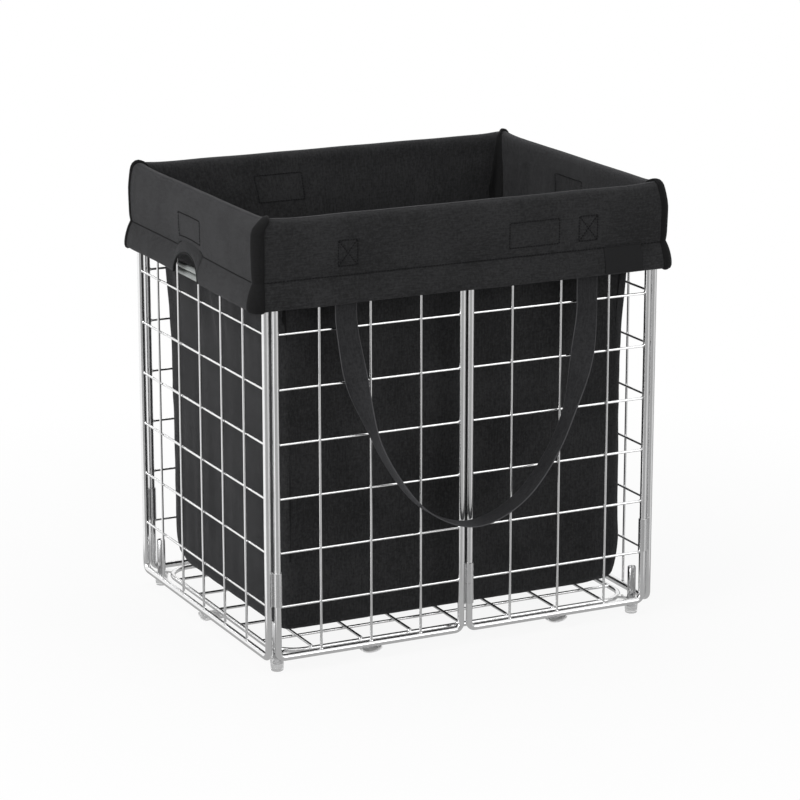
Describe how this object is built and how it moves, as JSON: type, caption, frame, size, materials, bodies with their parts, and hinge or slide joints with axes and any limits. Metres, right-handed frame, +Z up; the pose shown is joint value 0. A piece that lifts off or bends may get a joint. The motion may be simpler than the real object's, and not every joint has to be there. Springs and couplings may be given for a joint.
{
  "type": "laundry hamper",
  "caption": "Folding welded-wire laundry hamper with a lift-out cloth bag, a deep turned-over cuff, webbing carry straps and a lift-off base grid on clear feet.",
  "frame": {"origin": "on the floor, under the middle of the hamper", "axes": "+Z up, +X to the right along the wide front, -Y out of the front"},
  "size_m": [0.518, 0.445, 0.5237],
  "materials": {
    "bar_steel": "satin chrome plate",
    "sheet_steel": "satin chrome plate",
    "grip_wrap": "hatched grey-green wrap",
    "clear_plastic": "clear moulded",
    "liner_cloth": "black plain-weave polyester",
    "webbing": "black ribbed webbing",
    "patch_cloth": "black woven tape, bare"
  },
  "bodies": {
    "base": {"base_grid": "bar_steel", "socket_front_left": "sheet_steel", "socket_front_right": "sheet_steel", "socket_back_left": "sheet_steel", "socket_back_right": "sheet_steel", "foot_front_left": "clear_plastic", "foot_front_right": "clear_plastic", "foot_back_left": "clear_plastic", "foot_back_right": "clear_plastic", "cradle_left": "sheet_steel", "cradle_right": "sheet_steel", "cradle_front_left": "sheet_steel", "cradle_front_right": "sheet_steel", "cradle_back_left": "sheet_steel", "cradle_back_right": "sheet_steel"},
    "left_side": {"left_panel": "bar_steel", "grip_left_lower": "grip_wrap", "grip_left_upper": "grip_wrap", "corner_clip_front_left_lower": "sheet_steel", "corner_clip_front_left_upper": "sheet_steel", "corner_clip_back_left_lower": "sheet_steel", "corner_clip_back_left_upper": "sheet_steel"},
    "front_left": {"front_left_panel": "bar_steel"},
    "front_link": {"front_centre_clip_1": "sheet_steel", "front_centre_clip_2": "sheet_steel", "front_centre_clip_3": "sheet_steel", "front_centre_clip_4": "sheet_steel"},
    "front_right": {"front_right_panel": "bar_steel"},
    "right_side": {"right_panel": "bar_steel", "grip_right_lower": "grip_wrap", "grip_right_upper": "grip_wrap", "corner_clip_front_right_lower": "sheet_steel", "corner_clip_front_right_upper": "sheet_steel", "corner_clip_back_right_lower": "sheet_steel", "corner_clip_back_right_upper": "sheet_steel"},
    "back_left": {"back_left_panel": "bar_steel"},
    "back_link": {"back_centre_clip_1": "sheet_steel", "back_centre_clip_2": "sheet_steel", "back_centre_clip_3": "sheet_steel", "back_centre_clip_4": "sheet_steel"},
    "back_right": {"back_right_panel": "bar_steel"},
    "liner_left": {"bag": "liner_cloth", "cuff_left": "liner_cloth"},
    "liner_front_left": {"cuff_front_left": "liner_cloth"},
    "liner_front_middle": {"strap_front": "webbing"},
    "liner_front_right": {"cuff_front_right": "liner_cloth", "label_patch": "patch_cloth"},
    "liner_right": {"cuff_right": "liner_cloth"},
    "liner_back_left": {"cuff_back_left": "liner_cloth"},
    "liner_back_middle": {"strap_back": "webbing"},
    "liner_back_right": {"cuff_back_right": "liner_cloth"}
  },
  "joints": [
    {"name": "frame_fold", "type": "slide", "parent": "base", "child": "front_link", "axis": [0, -0.6385, 0.7696], "range_m": [0, 0.532], "deforming": ["bag", "cuff_left", "cuff_right", "cuff_front_left", "cuff_front_right", "cuff_back_left", "cuff_back_right", "strap_front", "strap_back"]},
    {"name": "turn_front_left", "type": "hinge", "parent": "front_link", "child": "front_left", "pos_m": [-0.00525, -0.189, 0.27], "axis": [0, 0, -1], "range_deg": [0, 84]},
    {"name": "turn_left", "type": "hinge", "parent": "front_left", "child": "left_side", "pos_m": [-0.237, -0.189, 0.27], "axis": [0, 0, 1], "range_deg": [0, 84]},
    {"name": "turn_front_right", "type": "hinge", "parent": "front_link", "child": "front_right", "pos_m": [0.00525, -0.189, 0.27], "axis": [0, 0, 1], "range_deg": [0, 84]},
    {"name": "turn_right", "type": "hinge", "parent": "front_right", "child": "right_side", "pos_m": [0.237, -0.189, 0.27], "axis": [0, 0, -1], "range_deg": [0, 84]},
    {"name": "turn_back_left", "type": "hinge", "parent": "left_side", "child": "back_left", "pos_m": [-0.237, 0.189, 0.27], "axis": [0, 0, 1], "range_deg": [0, 84]},
    {"name": "turn_back_link", "type": "hinge", "parent": "back_left", "child": "back_link", "pos_m": [-0.00525, 0.189, 0.27], "axis": [0, 0, -1], "range_deg": [0, 84]},
    {"name": "turn_back_right", "type": "hinge", "parent": "right_side", "child": "back_right", "pos_m": [0.237, 0.189, 0.27], "axis": [0, 0, -1], "range_deg": [0, 84]},
    {"name": "liner_lift", "type": "slide", "parent": "left_side", "child": "liner_left", "axis": [0, 0, 1], "range_m": [0, 0.5]},
    {"name": "bend_front_left", "type": "hinge", "parent": "liner_left", "child": "liner_front_left", "pos_m": [-0.237, -0.189, 0.48], "axis": [0, 0, -1], "range_deg": [0, 84]},
    {"name": "bend_front_middle", "type": "hinge", "parent": "liner_front_left", "child": "liner_front_middle", "pos_m": [-0.00525, -0.189, 0.48], "axis": [0, 0, 1], "range_deg": [0, 84]},
    {"name": "bend_front_right", "type": "hinge", "parent": "liner_front_middle", "child": "liner_front_right", "pos_m": [0.00525, -0.189, 0.48], "axis": [0, 0, 1], "range_deg": [0, 84]},
    {"name": "bend_right", "type": "hinge", "parent": "liner_front_right", "child": "liner_right", "pos_m": [0.237, -0.189, 0.48], "axis": [0, 0, -1], "range_deg": [0, 84]},
    {"name": "bend_back_left", "type": "hinge", "parent": "liner_left", "child": "liner_back_left", "pos_m": [-0.237, 0.189, 0.48], "axis": [0, 0, 1], "range_deg": [0, 84]},
    {"name": "bend_back_middle", "type": "hinge", "parent": "liner_back_left", "child": "liner_back_middle", "pos_m": [-0.00525, 0.189, 0.48], "axis": [0, 0, -1], "range_deg": [0, 84]},
    {"name": "bend_back_right", "type": "hinge", "parent": "liner_back_middle", "child": "liner_back_right", "pos_m": [0.00525, 0.189, 0.48], "axis": [0, 0, -1], "range_deg": [0, 84]}
  ],
  "couplings": [
    {"joint": "turn_front_left", "follows": "frame_fold", "rad_per_m": 2.755},
    {"joint": "turn_left", "follows": "frame_fold", "rad_per_m": 2.755},
    {"joint": "turn_front_right", "follows": "frame_fold", "rad_per_m": 2.755},
    {"joint": "turn_right", "follows": "frame_fold", "rad_per_m": 2.755},
    {"joint": "turn_back_left", "follows": "frame_fold", "rad_per_m": 2.755},
    {"joint": "turn_back_link", "follows": "frame_fold", "rad_per_m": 2.755},
    {"joint": "turn_back_right", "follows": "frame_fold", "rad_per_m": 2.755},
    {"joint": "bend_front_left", "follows": "frame_fold", "rad_per_m": 2.755},
    {"joint": "bend_front_middle", "follows": "frame_fold", "rad_per_m": 2.755},
    {"joint": "bend_front_right", "follows": "frame_fold", "rad_per_m": 2.755},
    {"joint": "bend_right", "follows": "frame_fold", "rad_per_m": 2.755},
    {"joint": "bend_back_left", "follows": "frame_fold", "rad_per_m": 2.755},
    {"joint": "bend_back_middle", "follows": "frame_fold", "rad_per_m": 2.755},
    {"joint": "bend_back_right", "follows": "frame_fold", "rad_per_m": 2.755}
  ]
}
